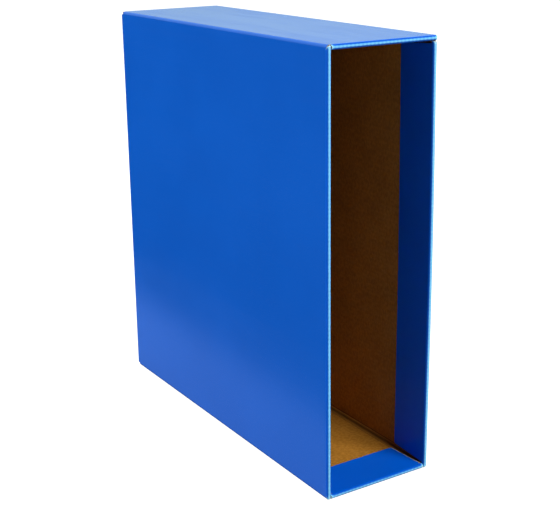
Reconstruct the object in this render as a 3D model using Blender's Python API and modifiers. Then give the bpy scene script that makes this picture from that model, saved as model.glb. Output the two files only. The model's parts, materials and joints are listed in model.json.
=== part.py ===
"""Archival box for one lever-arch file: a folded carton of micro-fluted board.

The carton stands on its bottom wall. +Z is up, the open mouth faces -Y, the
closed back faces +Y, and the origin is the middle of the footprint. Every
panel, crease, turned rim, hem flap and glue line is an object of its own.
"""
import math

import bmesh
import bpy
from mathutils import Matrix, Vector

# Driving dimensions of the folded carton, in metres
WIDTH = 0.092
DEPTH = 0.308
HEIGHT = 0.325
BOARD = 0.0015
GAP = 0.0003
CREASE_INNER_RADIUS = 0.0008

# Two plies glued face to face: the space between them and the film of glue in it
PLY_SPACE = 0.0006
GLUE_FILM = 0.0002

# Hems: flaps turned inwards at the mouth
HEM_DEPTH = 0.0355
HEM_END_CLEARANCE = 0.0009
HEM_TAPER = 0.0022
HEM_CORNER_RADIUS = 0.0015
HEM_GLUE_WIDTH = 0.012
HEM_GLUE_END = 0.010

# Maker's joint: a tab folded from the right wall and glued under the top wall
TAB_WIDTH = 0.024
TAB_FRONT_CLEARANCE = 0.001
TAB_BACK_SETBACK = 0.010
TAB_CHAMFER = 0.006
TAB_GLUE_WIDTH = 0.014
TOP_EDGE_SETBACK = 0.0003

# Closure of the back: cover, tuck tongue and two dust flaps
COVER_END_SETBACK = 0.0005
TONGUE_PLAY = 0.001
TONGUE_LENGTH = 0.020
TONGUE_LOW_END = 0.005
TONGUE_HIGH_END = 0.318
TONGUE_CORNER_RADIUS = 0.012
FLAP_LENGTH = 0.060
FLAP_LEFT_EDGE = -0.0432
FLAP_RIGHT_EDGE = 0.0408
FLAP_TAPER = 0.006
FLAP_CORNER_RADIUS = 0.004

# Raw cut ends
CREASE_MOUTH_SETBACK = 0.001
RIM_SIDE_CLEARANCE = 0.0004
TOP_RIM_RIGHT_END = 0.045
BOTTOM_RIM_RIGHT_END = 0.0415

# Smoothness of round stretches
QUARTER_STEPS = 8
CORNER_STEPS = 6

# Levels worked out from the driving dimensions
HALF_WIDTH = WIDTH / 2
MOUTH_Y = -DEPTH / 2
BACK_Y = DEPTH / 2
CREASE_RADIUS = CREASE_INNER_RADIUS + BOARD
FLAT_START = CREASE_RADIUS + GAP
SIDE_FLAT = HALF_WIDTH - FLAT_START
RIM_RADIUS = BOARD + PLY_SPACE / 2
RIM_AXIS_Y = MOUTH_Y + RIM_RADIUS
PANEL_FRONT_Y = RIM_AXIS_Y + GAP
HEM_OUTER = BOARD + PLY_SPACE
HEM_INNER = HEM_OUTER + BOARD
HEM_EDGE_Y = MOUTH_Y + HEM_DEPTH
COVER_AXIS = Vector((-HALF_WIDTH + BOARD / 2, BACK_Y - BOARD / 2, HEIGHT / 2))
COVER_INNER_Y = BACK_Y - BOARD
TONGUE_OUTER_X = HALF_WIDTH - BOARD - TONGUE_PLAY
TONGUE_INNER_X = TONGUE_OUTER_X - BOARD
TONGUE_AXIS = Vector((TONGUE_INNER_X - GAP, COVER_INNER_Y - GAP, HEIGHT / 2))
FLAP_INNER_Y = COVER_INNER_Y - GAP - BOARD
FLAP_AXIS_Y = FLAP_INNER_Y - GAP
FLAP_AXIS_INSET = BOARD + GAP
TUBE_BACK_Y = FLAP_AXIS_Y - GAP
SEAM_CREASE_Z = HEIGHT - HEM_OUTER - CREASE_RADIUS
RIGHT_WALL_TOP = SEAM_CREASE_Z - GAP

X_AXIS = Vector((1.0, 0.0, 0.0))
Y_AXIS = Vector((0.0, 1.0, 0.0))
Z_AXIS = Vector((0.0, 0.0, 1.0))


def clear_scene():
    """Remove every object that is in the scene."""
    for existing in list(bpy.data.objects):
        bpy.data.objects.remove(existing, do_unlink=True)


def make_collection(name):
    """Return a new collection in the scene."""
    collection = bpy.data.collections.new(name)
    bpy.context.scene.collection.children.link(collection)
    return collection


def make_finish(name, colour, roughness):
    """Return a plain Principled material."""
    finish = bpy.data.materials.new(name)
    finish.use_nodes = True
    shader = finish.node_tree.nodes["Principled BSDF"]
    shader.inputs["Base Color"].default_value = (*colour, 1.0)
    shader.inputs["Roughness"].default_value = roughness
    shader.inputs["Metallic"].default_value = 0.0
    return finish


clear_scene()
CARTON = make_collection("archival_box")
PRINTED = make_finish("printed_board", (0.007, 0.095, 0.47), 0.25)
GLUE = make_finish("dried_glue", (0.78, 0.74, 0.62), 0.40)


def add_piece(name, data, finish, placement, hinge=None):
    """Link one named piece at its placement, under its hinge where it has one."""
    piece = bpy.data.objects.new(name, data)
    data.materials.append(finish)
    CARTON.objects.link(piece)
    piece.matrix_world = placement
    if hinge is not None:
        piece.parent = hinge
        piece.matrix_parent_inverse = Matrix.Translation(hinge.location).inverted()
    return piece


def axes_matrix(origin, first, second):
    """Return a placement whose X and Y run along the two given directions."""
    third = first.cross(second)
    turned = Matrix((first, second, third)).transposed().to_4x4()
    return Matrix.Translation(origin) @ turned


def add_hinge(name, location):
    """Add an empty that stands on a joint's axis."""
    hinge = bpy.data.objects.new(name, None)
    hinge.location = location
    hinge.empty_display_size = 0.02
    CARTON.objects.link(hinge)
    return hinge


def slab(name, low, high, finish=PRINTED, hinge=None):
    """Add a square-cut sheet between its lowest and highest corners."""
    low_corner = Vector(low)
    high_corner = Vector(high)
    size = high_corner - low_corner
    mesh = bpy.data.meshes.new(name)
    form = bmesh.new()
    bmesh.ops.create_cube(form, size=1.0, matrix=Matrix.Diagonal((*size, 1.0)))
    form.to_mesh(mesh)
    form.free()
    centre = (low_corner + high_corner) / 2
    return add_piece(name, mesh, finish, Matrix.Translation(centre), hinge)


def rounded_outline(corners):
    """Return a counter-clockwise convex outline, each corner (u, v, radius) rounded."""
    points = []
    for index, (u, v, radius) in enumerate(corners):
        corner = Vector((u, v))
        before = (Vector(corners[index - 1][:2]) - corner).normalized()
        after = (Vector(corners[(index + 1) % len(corners)][:2]) - corner).normalized()
        half_angle = before.angle(after) / 2
        centre = corner + (before + after).normalized() * (radius / math.sin(half_angle))
        spoke = corner + before * (radius / math.tan(half_angle)) - centre
        steps = CORNER_STEPS if radius > 0.0 else 0
        for step in range(steps + 1):
            turn = (math.pi - 2 * half_angle) * step / max(steps, 1)
            points.append(centre + Matrix.Rotation(turn, 2) @ spoke)
    return points


def panel(name, corners, origin, u_axis, v_axis, hinge=None):
    """Add a die-cut flap: an outline in the (u, v) plane, one board thick about it."""
    curve = bpy.data.curves.new(name, "CURVE")
    curve.dimensions = "2D"
    curve.fill_mode = "BOTH"
    curve.extrude = BOARD / 2
    points = rounded_outline(corners)
    spline = curve.splines.new("POLY")
    spline.points.add(len(points) - 1)
    for spline_point, point in zip(spline.points, points):
        spline_point.co = (point.x, point.y, 0.0, 1.0)
    spline.use_cyclic_u = True
    return add_piece(name, curve, PRINTED, axes_matrix(origin, u_axis, v_axis), hinge)


def fold(name, centre, start, towards, turn, inner_radius, length, hinge=None):
    """Add a bent strip of board that turns about its axis from start towards a side."""
    radius = inner_radius + BOARD / 2
    mesh = bpy.data.meshes.new(name)
    form = bmesh.new()
    ends = [form.verts.new((radius, 0.0, side * length / 2)) for side in (-1, 1)]
    form.edges.new(ends)
    form.to_mesh(mesh)
    form.free()
    strip = add_piece(name, mesh, PRINTED, axes_matrix(centre, start, towards), hinge)
    screw = strip.modifiers.new("bend", "SCREW")
    screw.axis = "Z"
    screw.angle = math.radians(turn)
    screw.steps = round(QUARTER_STEPS * turn / 90)
    screw.render_steps = screw.steps
    screw.merge_threshold = 0.00001
    screw.use_smooth_shade = True
    ply = strip.modifiers.new("board", "SOLIDIFY")
    ply.thickness = BOARD
    ply.offset = 0.0
    return strip


def build_walls():
    """Add the four walls of the tube."""
    tube_back = TUBE_BACK_Y
    slab("left_wall",
         (-HALF_WIDTH, PANEL_FRONT_Y, FLAT_START),
         (-HALF_WIDTH + BOARD, COVER_AXIS.y - BOARD / 2 - GAP, HEIGHT - FLAT_START))
    slab("bottom_wall",
         (-SIDE_FLAT, PANEL_FRONT_Y, 0.0),
         (SIDE_FLAT, tube_back, BOARD))
    slab("right_wall",
         (HALF_WIDTH - BOARD, PANEL_FRONT_Y, FLAT_START),
         (HALF_WIDTH, BACK_Y, RIGHT_WALL_TOP))
    slab("top_wall",
         (-SIDE_FLAT, PANEL_FRONT_Y, HEIGHT - BOARD),
         (HALF_WIDTH - TOP_EDGE_SETBACK, tube_back, HEIGHT))


def build_long_creases():
    """Add the four creases that run from the mouth to the back."""
    side = HALF_WIDTH - CREASE_RADIUS
    high = HEIGHT - CREASE_RADIUS
    raw_front = MOUTH_Y + CREASE_MOUTH_SETBACK
    for name, x_side, up, level, front in (
            ("bottom_left_crease", -1, -1, CREASE_RADIUS, raw_front),
            ("bottom_right_crease", 1, -1, CREASE_RADIUS, raw_front),
            ("top_left_crease", -1, 1, high, raw_front),
            ("seam_crease", 1, 1, SEAM_CREASE_Z, PANEL_FRONT_Y)):
        centre = (x_side * side, (front + TUBE_BACK_Y) / 2, level)
        fold(name, centre, x_side * X_AXIS, up * Z_AXIS, 90, CREASE_INNER_RADIUS,
             TUBE_BACK_Y - front)


def build_seam():
    """Add the tab that closes the tube and the film of glue above it."""
    front = HEM_EDGE_Y + TAB_FRONT_CLEARANCE
    back = BACK_Y - TAB_BACK_SETBACK
    root_x = SIDE_FLAT
    edge_x = root_x - TAB_WIDTH
    outline = [(root_x, front, 0.0),
               (root_x, back, 0.0),
               (edge_x, back - TAB_CHAMFER, 0.0),
               (edge_x, front + TAB_CHAMFER, 0.0)]
    tab_z = HEIGHT - HEM_OUTER - BOARD / 2
    panel("seam_tab", outline, (0.0, 0.0, tab_z), X_AXIS, Y_AXIS)
    glue_x = root_x - TAB_WIDTH / 2
    glue_z = HEIGHT - BOARD - PLY_SPACE / 2
    slab("seam_glue",
         (glue_x - TAB_GLUE_WIDTH / 2, front + TAB_CHAMFER, glue_z - GLUE_FILM / 2),
         (glue_x + TAB_GLUE_WIDTH / 2, back - TAB_CHAMFER, glue_z + GLUE_FILM / 2),
         GLUE)


def hem_outline(low_end, high_end):
    """Return a hem flap's outline: u along the rim, v from the rim to the free edge."""
    depth = HEM_EDGE_Y - PANEL_FRONT_Y
    return [(low_end, 0.0, 0.0),
            (high_end, 0.0, 0.0),
            (high_end - HEM_TAPER, depth, HEM_CORNER_RADIUS),
            (low_end + HEM_TAPER, depth, HEM_CORNER_RADIUS)]


def build_side_hems():
    """Add the rims, flaps and glue of the two tall hems."""
    low_end = HEM_INNER + HEM_END_CLEARANCE
    for name, side, top in (("left", -1, HEIGHT), ("right", 1, RIGHT_WALL_TOP + HEM_INNER)):
        rim_top = min(HEIGHT - FLAT_START, RIGHT_WALL_TOP if side > 0 else HEIGHT)
        rim_centre = Vector((side * (HALF_WIDTH - RIM_RADIUS), RIM_AXIS_Y, (FLAT_START + rim_top) / 2))
        fold(name + "_rim", rim_centre, side * X_AXIS, -Y_AXIS, 180, PLY_SPACE / 2,
             rim_top - FLAT_START)
        flap_x = side * (HALF_WIDTH - HEM_OUTER - BOARD / 2)
        high_end = top - HEM_INNER - HEM_END_CLEARANCE
        corners = hem_outline(-high_end, -low_end)
        panel(name + "_hem", corners, (flap_x, PANEL_FRONT_Y, 0.0), -Z_AXIS, Y_AXIS)
        glue_x = side * (HALF_WIDTH - BOARD - PLY_SPACE / 2)
        middle_y = (PANEL_FRONT_Y + HEM_EDGE_Y) / 2
        slab(name + "_hem_glue",
             (glue_x - GLUE_FILM / 2, middle_y - HEM_GLUE_WIDTH / 2, low_end + HEM_GLUE_END),
             (glue_x + GLUE_FILM / 2, middle_y + HEM_GLUE_WIDTH / 2, high_end - HEM_GLUE_END),
             GLUE)


def build_level_hems():
    """Add the rims, flaps and glue of the bottom and top hems."""
    rim_left = -HALF_WIDTH + HEM_INNER + RIM_SIDE_CLEARANCE
    flap_end = HALF_WIDTH - HEM_INNER - HEM_END_CLEARANCE
    for name, up, face, rim_right in (("bottom", -1, 0.0, BOTTOM_RIM_RIGHT_END),
                                      ("top", 1, HEIGHT, TOP_RIM_RIGHT_END)):
        rim_centre = Vector(((rim_left + rim_right) / 2, RIM_AXIS_Y, face - up * RIM_RADIUS))
        fold(name + "_rim", rim_centre, up * Z_AXIS, -Y_AXIS, 180, PLY_SPACE / 2,
             rim_right - rim_left)
        corners = hem_outline(-flap_end, flap_end)
        flap_z = face - up * (HEM_OUTER + BOARD / 2)
        panel(name + "_hem", corners, (0.0, PANEL_FRONT_Y, flap_z), X_AXIS, Y_AXIS)
        glue_z = face - up * (BOARD + PLY_SPACE / 2)
        middle_y = (PANEL_FRONT_Y + HEM_EDGE_Y) / 2
        glue_end = flap_end - HEM_GLUE_END
        slab(name + "_hem_glue",
             (-glue_end, middle_y - HEM_GLUE_WIDTH / 2, glue_z - GLUE_FILM / 2),
             (glue_end, middle_y + HEM_GLUE_WIDTH / 2, glue_z + GLUE_FILM / 2),
             GLUE)


def build_cover():
    """Add the back cover, which swings on the left wall's back edge."""
    hinge = add_hinge("cover_hinge", COVER_AXIS)
    crease_height = HEIGHT - 2 * FLAT_START
    mesh = bpy.data.meshes.new("cover_crease")
    form = bmesh.new()
    bmesh.ops.create_cone(form, cap_ends=True, segments=4 * QUARTER_STEPS,
                          radius1=BOARD / 2, radius2=BOARD / 2, depth=crease_height)
    form.to_mesh(mesh)
    form.free()
    mesh.shade_smooth()
    mesh.set_sharp_from_angle(angle=math.radians(40))
    add_piece("cover_crease", mesh, PRINTED, Matrix.Translation(COVER_AXIS), hinge)
    slab("back_cover",
         (COVER_AXIS.x + BOARD / 2 + GAP, COVER_INNER_Y, COVER_END_SETBACK),
         (TONGUE_AXIS.x - GAP, BACK_Y, HEIGHT - COVER_END_SETBACK),
         PRINTED, hinge)
    return hinge


def build_tongue(cover_hinge):
    """Add the tongue on the cover's free edge, tucked inside the right wall."""
    tongue_middle = (TONGUE_LOW_END + TONGUE_HIGH_END) / 2
    fold("tongue_crease", (TONGUE_AXIS.x, TONGUE_AXIS.y, tongue_middle), X_AXIS, Y_AXIS, 90,
         GAP, TONGUE_HIGH_END - TONGUE_LOW_END, cover_hinge)
    hinge = add_hinge("tongue_hinge", TONGUE_AXIS)
    hinge.parent = cover_hinge
    hinge.matrix_parent_inverse = Matrix.Translation(cover_hinge.location).inverted()
    outline = [(TONGUE_LOW_END, -TONGUE_LENGTH, TONGUE_CORNER_RADIUS),
               (TONGUE_HIGH_END, -TONGUE_LENGTH, TONGUE_CORNER_RADIUS),
               (TONGUE_HIGH_END, -GAP, 0.0),
               (TONGUE_LOW_END, -GAP, 0.0)]
    middle_x = (TONGUE_INNER_X + TONGUE_OUTER_X) / 2
    panel("tuck_tongue", outline, (middle_x, TONGUE_AXIS.y, 0.0), Z_AXIS, Y_AXIS, hinge)


def build_dust_flaps():
    """Add the two dust flaps that stand behind the cover, with their creases."""
    crease_middle = (FLAP_LEFT_EDGE + FLAP_RIGHT_EDGE) / 2
    crease_length = FLAP_RIGHT_EDGE - FLAP_LEFT_EDGE
    flap_y = FLAP_INNER_Y + BOARD / 2
    for name, up, face in (("bottom", -1, 0.0), ("top", 1, HEIGHT)):
        axis_z = face - up * FLAP_AXIS_INSET
        fold(name + "_flap_crease", (crease_middle, FLAP_AXIS_Y, axis_z), up * Z_AXIS, Y_AXIS, 90,
             GAP, crease_length)
        hinge = add_hinge(name + "_flap_hinge", (0.0, FLAP_AXIS_Y, axis_z))
        outline = [(FLAP_LEFT_EDGE, -GAP, 0.0),
                   (FLAP_LEFT_EDGE + FLAP_TAPER, -FLAP_LENGTH, FLAP_CORNER_RADIUS),
                   (FLAP_RIGHT_EDGE - FLAP_TAPER, -FLAP_LENGTH, FLAP_CORNER_RADIUS),
                   (FLAP_RIGHT_EDGE, -GAP, 0.0)]
        panel(name + "_dust_flap", outline, (0.0, flap_y, axis_z), X_AXIS, up * Z_AXIS, hinge)


def build():
    """Build the whole carton."""
    build_walls()
    build_long_creases()
    build_seam()
    build_side_hems()
    build_level_hems()
    cover_hinge = build_cover()
    build_tongue(cover_hinge)
    build_dust_flaps()


build()
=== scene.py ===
"""Looks of the archival box: a folded carton of micro-fluted board for one file.

Every panel, fold, rim and flap is laid up from the plies of the real board: a
printed and laminated liner, a fluted medium and a plain kraft liner. Lengths are
in metres; +Z is up, the open mouth faces -Y and the hinged back faces +Y.
"""

import json
import logging
import math
from dataclasses import dataclass, field
from enum import Enum, IntEnum
from typing import Callable, Protocol

import bpy
import numpy as np
from mathutils import Matrix, Vector


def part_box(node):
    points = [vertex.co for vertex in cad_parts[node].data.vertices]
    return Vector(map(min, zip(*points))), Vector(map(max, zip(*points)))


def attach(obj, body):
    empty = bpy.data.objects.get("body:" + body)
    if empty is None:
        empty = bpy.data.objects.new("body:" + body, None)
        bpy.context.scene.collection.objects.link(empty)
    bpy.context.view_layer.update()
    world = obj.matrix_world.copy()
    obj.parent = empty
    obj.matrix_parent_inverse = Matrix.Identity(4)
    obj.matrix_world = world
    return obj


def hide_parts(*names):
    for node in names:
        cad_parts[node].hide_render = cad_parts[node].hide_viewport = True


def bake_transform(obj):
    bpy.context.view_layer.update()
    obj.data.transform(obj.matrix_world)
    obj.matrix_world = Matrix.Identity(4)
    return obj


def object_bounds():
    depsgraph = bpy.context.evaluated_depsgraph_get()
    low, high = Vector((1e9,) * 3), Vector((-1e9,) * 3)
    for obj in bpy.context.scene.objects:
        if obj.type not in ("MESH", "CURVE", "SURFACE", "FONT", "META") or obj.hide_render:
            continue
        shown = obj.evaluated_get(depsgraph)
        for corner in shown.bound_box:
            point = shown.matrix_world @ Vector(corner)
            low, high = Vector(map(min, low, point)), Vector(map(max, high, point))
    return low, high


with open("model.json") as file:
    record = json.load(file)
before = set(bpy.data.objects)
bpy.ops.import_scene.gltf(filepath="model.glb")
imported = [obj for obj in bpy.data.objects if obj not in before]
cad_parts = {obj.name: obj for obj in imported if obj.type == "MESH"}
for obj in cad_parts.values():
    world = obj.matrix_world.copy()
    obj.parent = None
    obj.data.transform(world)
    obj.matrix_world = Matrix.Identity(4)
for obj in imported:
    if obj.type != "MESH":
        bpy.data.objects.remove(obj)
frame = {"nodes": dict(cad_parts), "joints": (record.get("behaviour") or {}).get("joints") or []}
CAD_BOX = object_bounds()

LOG = logging.getLogger("archival_box")
MM = 0.001
FLUTE_PITCH = 3.2 * MM
SHARP_ANGLE = math.radians(38)
AXES = {
    "+X": Vector((1.0, 0.0, 0.0)),
    "-X": Vector((-1.0, 0.0, 0.0)),
    "+Y": Vector((0.0, 1.0, 0.0)),
    "-Y": Vector((0.0, -1.0, 0.0)),
    "+Z": Vector((0.0, 0.0, 1.0)),
    "-Z": Vector((0.0, 0.0, -1.0)),
}


class Face(IntEnum):
    """Finishes of one board piece, in the order of its material slots."""

    PRINT = 0
    KRAFT = 1
    MEDIUM = 2
    WHITE_CUT = 3
    BROWN_CUT = 4
    # a copy of the print painted brighter and bluer to stand in for more light on the hems and rims, with
    # weaker gloss
    HEM_PRINT = 5


class Slot(Enum):
    """The record's material slots of the board pieces."""

    PRINTED = "printed_board"
    LINER = "kraft_liner"


class Roll(Enum):
    """The way a curved stretch of board bends, told by its flutes."""

    ACROSS_FLUTES = "the fold line crosses the flutes"
    WITH_FLUTES = "the fold line runs with the flutes"


# --------------------------------------------------------------------------
# Finishes
# --------------------------------------------------------------------------


class NodeWriter:
    """A small helper that fills one node tree."""

    def __init__(self, tree: bpy.types.NodeTree) -> None:
        """Start with an empty tree.

        Args:
            tree: the node tree of a material or a world.
        """
        self.tree = tree
        self.tree.nodes.clear()

    def put(self, kind: str, **settings: object) -> bpy.types.Node:
        """Add a node and set its properties.

        Args:
            kind: Blender's name for the node type.
            settings: properties of the node.

        Returns:
            The new node.
        """
        node = self.tree.nodes.new(kind)
        for key, value in settings.items():
            setattr(node, key, value)
        return node

    def feed(self, target: bpy.types.NodeSocket, source: object) -> None:
        """Link a socket to a source, or set it if the source is a plain value.

        Args:
            target: the input socket.
            source: an output socket or a value.
        """
        if isinstance(source, bpy.types.NodeSocket):
            self.tree.links.new(source, target)
        else:
            target.default_value = source

    def place_in_row(self) -> bpy.types.NodeSocket:
        """Return the point's place in the row frame, at rest."""
        return self.put("ShaderNodeTexCoord").outputs["Object"]

    def attribute(self, name: str) -> bpy.types.NodeSocket:
        """Return a number that the mesh holds at each point."""
        return self.put("ShaderNodeAttribute", attribute_name=name).outputs["Fac"]

    def math(self, operation: str, *values: object) -> bpy.types.NodeSocket:
        """Return the result of one sum.

        Args:
            operation: Blender's name for the sum.
            values: numbers or sockets.

        Returns:
            The result's socket.
        """
        node = self.put("ShaderNodeMath", operation=operation)
        for socket, value in zip(node.inputs, values):
            self.feed(socket, value)
        return node.outputs[0]

    def stretched(self, vector: object, scale: tuple[float, float, float]) -> bpy.types.NodeSocket:
        """Return a vector scaled along each axis.

        Args:
            vector: the vector's socket.
            scale: the factor along each axis.

        Returns:
            The scaled vector's socket.
        """
        node = self.put("ShaderNodeVectorMath", operation="MULTIPLY")
        self.feed(node.inputs[0], vector)
        node.inputs[1].default_value = scale
        return node.outputs[0]

    def combined(self, x: object, y: object, z: object) -> bpy.types.NodeSocket:
        """Return a vector made of three numbers.

        Args:
            x: a number or socket.
            y: a number or socket.
            z: a number or socket.

        Returns:
            The vector's socket.
        """
        node = self.put("ShaderNodeCombineXYZ")
        for socket, value in zip(node.inputs, (x, y, z)):
            self.feed(socket, value)
        return node.outputs[0]

    def noise(self, vector: object, scale: float, detail: float = 2.0,
              rough: float = 0.5) -> bpy.types.NodeSocket:
        """Return a cloudy noise around one half.

        Args:
            vector: where the noise is read.
            scale: cells in a metre.
            detail: octaves.
            rough: how strong the finer octaves are.

        Returns:
            The noise socket.
        """
        node = self.put("ShaderNodeTexNoise")
        self.feed(node.inputs["Vector"], vector)
        node.inputs["Scale"].default_value = scale
        node.inputs["Detail"].default_value = detail
        node.inputs["Roughness"].default_value = rough
        return node.outputs["Fac"]

    def window(self, value: object, low: float, high: float, to_low: float = 0.0,
               to_high: float = 1.0) -> bpy.types.NodeSocket:
        """Return a smooth step from one level to another.

        Args:
            value: the number read.
            low: where the step begins.
            high: where the step ends.
            to_low: level before the step.
            to_high: level after the step.

        Returns:
            The stepped socket.
        """
        node = self.put("ShaderNodeMapRange", interpolation_type="SMOOTHSTEP")
        for socket, part in zip(node.inputs, (value, low, high, to_low, to_high)):
            self.feed(socket, part)
        return node.outputs[0]

    def between(self, share: object, first: object, second: object) -> bpy.types.NodeSocket:
        """Return a number between two others.

        Args:
            share: how much of the second.
            first: a number or socket.
            second: a number or socket.

        Returns:
            The mixed number's socket.
        """
        node = self.put("ShaderNodeMix", data_type="FLOAT")
        for place, value in ((0, share), (2, first), (3, second)):
            self.feed(node.inputs[place], value)
        return node.outputs[0]

    def blend(self, share: object, first: object, second: object) -> bpy.types.NodeSocket:
        """Return a mix of two colours.

        Args:
            share: how much of the second.
            first: a colour or socket.
            second: a colour or socket.

        Returns:
            The mixed colour's socket.
        """
        node = self.put("ShaderNodeMix", data_type="RGBA")
        node.clamp_factor = True
        self.feed(node.inputs["Factor"], share)
        for label, colour in (("A", first), ("B", second)):
            socket = next(s for s in node.inputs if s.name == label and s.type == "RGBA")
            self.feed(socket, (*colour, 1.0) if isinstance(colour, tuple) else colour)
        return next(s for s in node.outputs if s.type == "RGBA")

    def raise_by(self, height: object, distance: float,
                 below: object | None = None) -> bpy.types.NodeSocket:
        """Return a normal pushed by a height.

        Args:
            height: the height, from nothing to one.
            distance: what one stands for, in metres.
            below: a normal to build on.

        Returns:
            The normal's socket.
        """
        node = self.put("ShaderNodeBump")
        node.inputs["Strength"].default_value = 1.0
        node.inputs["Distance"].default_value = distance
        self.feed(node.inputs["Height"], height)
        if below is not None:
            self.feed(node.inputs["Normal"], below)
        return node.outputs["Normal"]

    def flute_ridges(self, across: object) -> bpy.types.NodeSocket:
        """Return the height of the flutes that show through a liner.

        Args:
            across: the distance across the flutes.

        Returns:
            The height's socket, from nothing to one.
        """
        phase = self.math("MULTIPLY", across, 2 * math.pi / FLUTE_PITCH)
        return self.math("MULTIPLY_ADD", self.math("COSINE", phase), 0.5, 0.5)


class NodeSheet(NodeWriter):
    """A node writer for one new material and its surface shader."""

    def __init__(self, name: str) -> None:
        """Start a material with its output and surface shader.

        Args:
            name: the material's name.
        """
        self.material = bpy.data.materials.new(name)
        self.material.use_nodes = True
        super().__init__(self.material.node_tree)
        output = self.put("ShaderNodeOutputMaterial")
        self.shader = self.put("ShaderNodeBsdfPrincipled")
        self.feed(output.inputs["Surface"], self.shader.outputs["BSDF"])

    def set(self, socket: str, value: object) -> None:
        """Set or link one input of the surface shader."""
        self.feed(self.shader.inputs[socket], value)


@dataclass(frozen=True)
class LaminatedPrint:
    """Flat-printed paper under a gloss film, glued over flutes that show faintly; the lighter film on
    folded crests is partly stretch whitening and partly a painted highlight.
    """

    name: str = "laminated_blue_print"
    colour: tuple[float, float, float] = (0.0045, 0.098, 0.515)
    shade: tuple[float, float, float] = (0.0035, 0.088, 0.475)
    # lighter film on folded crests: partly stretch whitening, partly a painted highlight, strongest on the
    # mouth's rims
    stretched: tuple[float, float, float] = (0.22, 0.66, 0.98)
    rubbed: tuple[float, float, float] = (0.62, 0.78, 0.86)
    gloss: float = 0.12
    reflection: float = 0.36
    washboard: float = 0.003 * MM

    def material(self) -> bpy.types.Material:
        """Make the film-laminated blue.

        Returns:
            The material.
        """
        sheet = NodeSheet(self.name)
        place = sheet.place_in_row()
        across = sheet.attribute("across")
        clouds = sheet.noise(place, scale=9.0, detail=4.0, rough=0.55)
        grain = sheet.noise(place, scale=2600.0, detail=2.0)
        tone = sheet.math("ADD", sheet.window(clouds, 0.35, 0.65, 0.0, 0.7),
                          sheet.window(grain, 0.3, 0.7, 0.0, 0.3))
        body = sheet.blend(tone, self.shade, self.colour)
        crack = sheet.noise(place, scale=900.0, detail=6.0, rough=0.72)
        wear = sheet.attribute("wear")
        # mixes in the lighter film of folded crests: partly stretch whitening, partly a painted highlight
        body = sheet.blend(sheet.window(wear, 0.30, 0.90, 0.0, 0.95), body, self.stretched)
        worn = sheet.math("MULTIPLY", wear, crack)
        worn = sheet.window(worn, 0.50, 0.70, 0.0, 0.85)
        sheet.set("Base Color", sheet.blend(worn, body, self.rubbed))
        wiped = sheet.noise(sheet.stretched(place, (60.0, 9.0, 420.0)), scale=1.0, detail=5.0, rough=0.6)
        specks = sheet.noise(place, scale=3800.0, detail=0.0)
        rough = sheet.window(wiped, 0.35, 0.75, self.gloss, self.gloss + 0.07)
        rough = sheet.math("ADD", rough, sheet.window(specks, 0.70, 0.80, 0.0, 0.15))
        rough = sheet.math("ADD", rough, sheet.math("MULTIPLY", worn, 0.3))
        sheet.set("Roughness", rough)
        sheet.set("IOR", 1.5)
        sheet.set("Specular IOR Level", self.reflection)
        ridges = sheet.flute_ridges(across)
        soft = sheet.raise_by(sheet.noise(place, scale=14.0, detail=1.0), 0.12 * MM)
        ribbed = sheet.raise_by(ridges, self.washboard, soft)
        peel = sheet.raise_by(sheet.noise(place, scale=1400.0, detail=2.0), 0.002 * MM, ribbed)
        sheet.set("Normal", peel)
        return sheet.material


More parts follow.
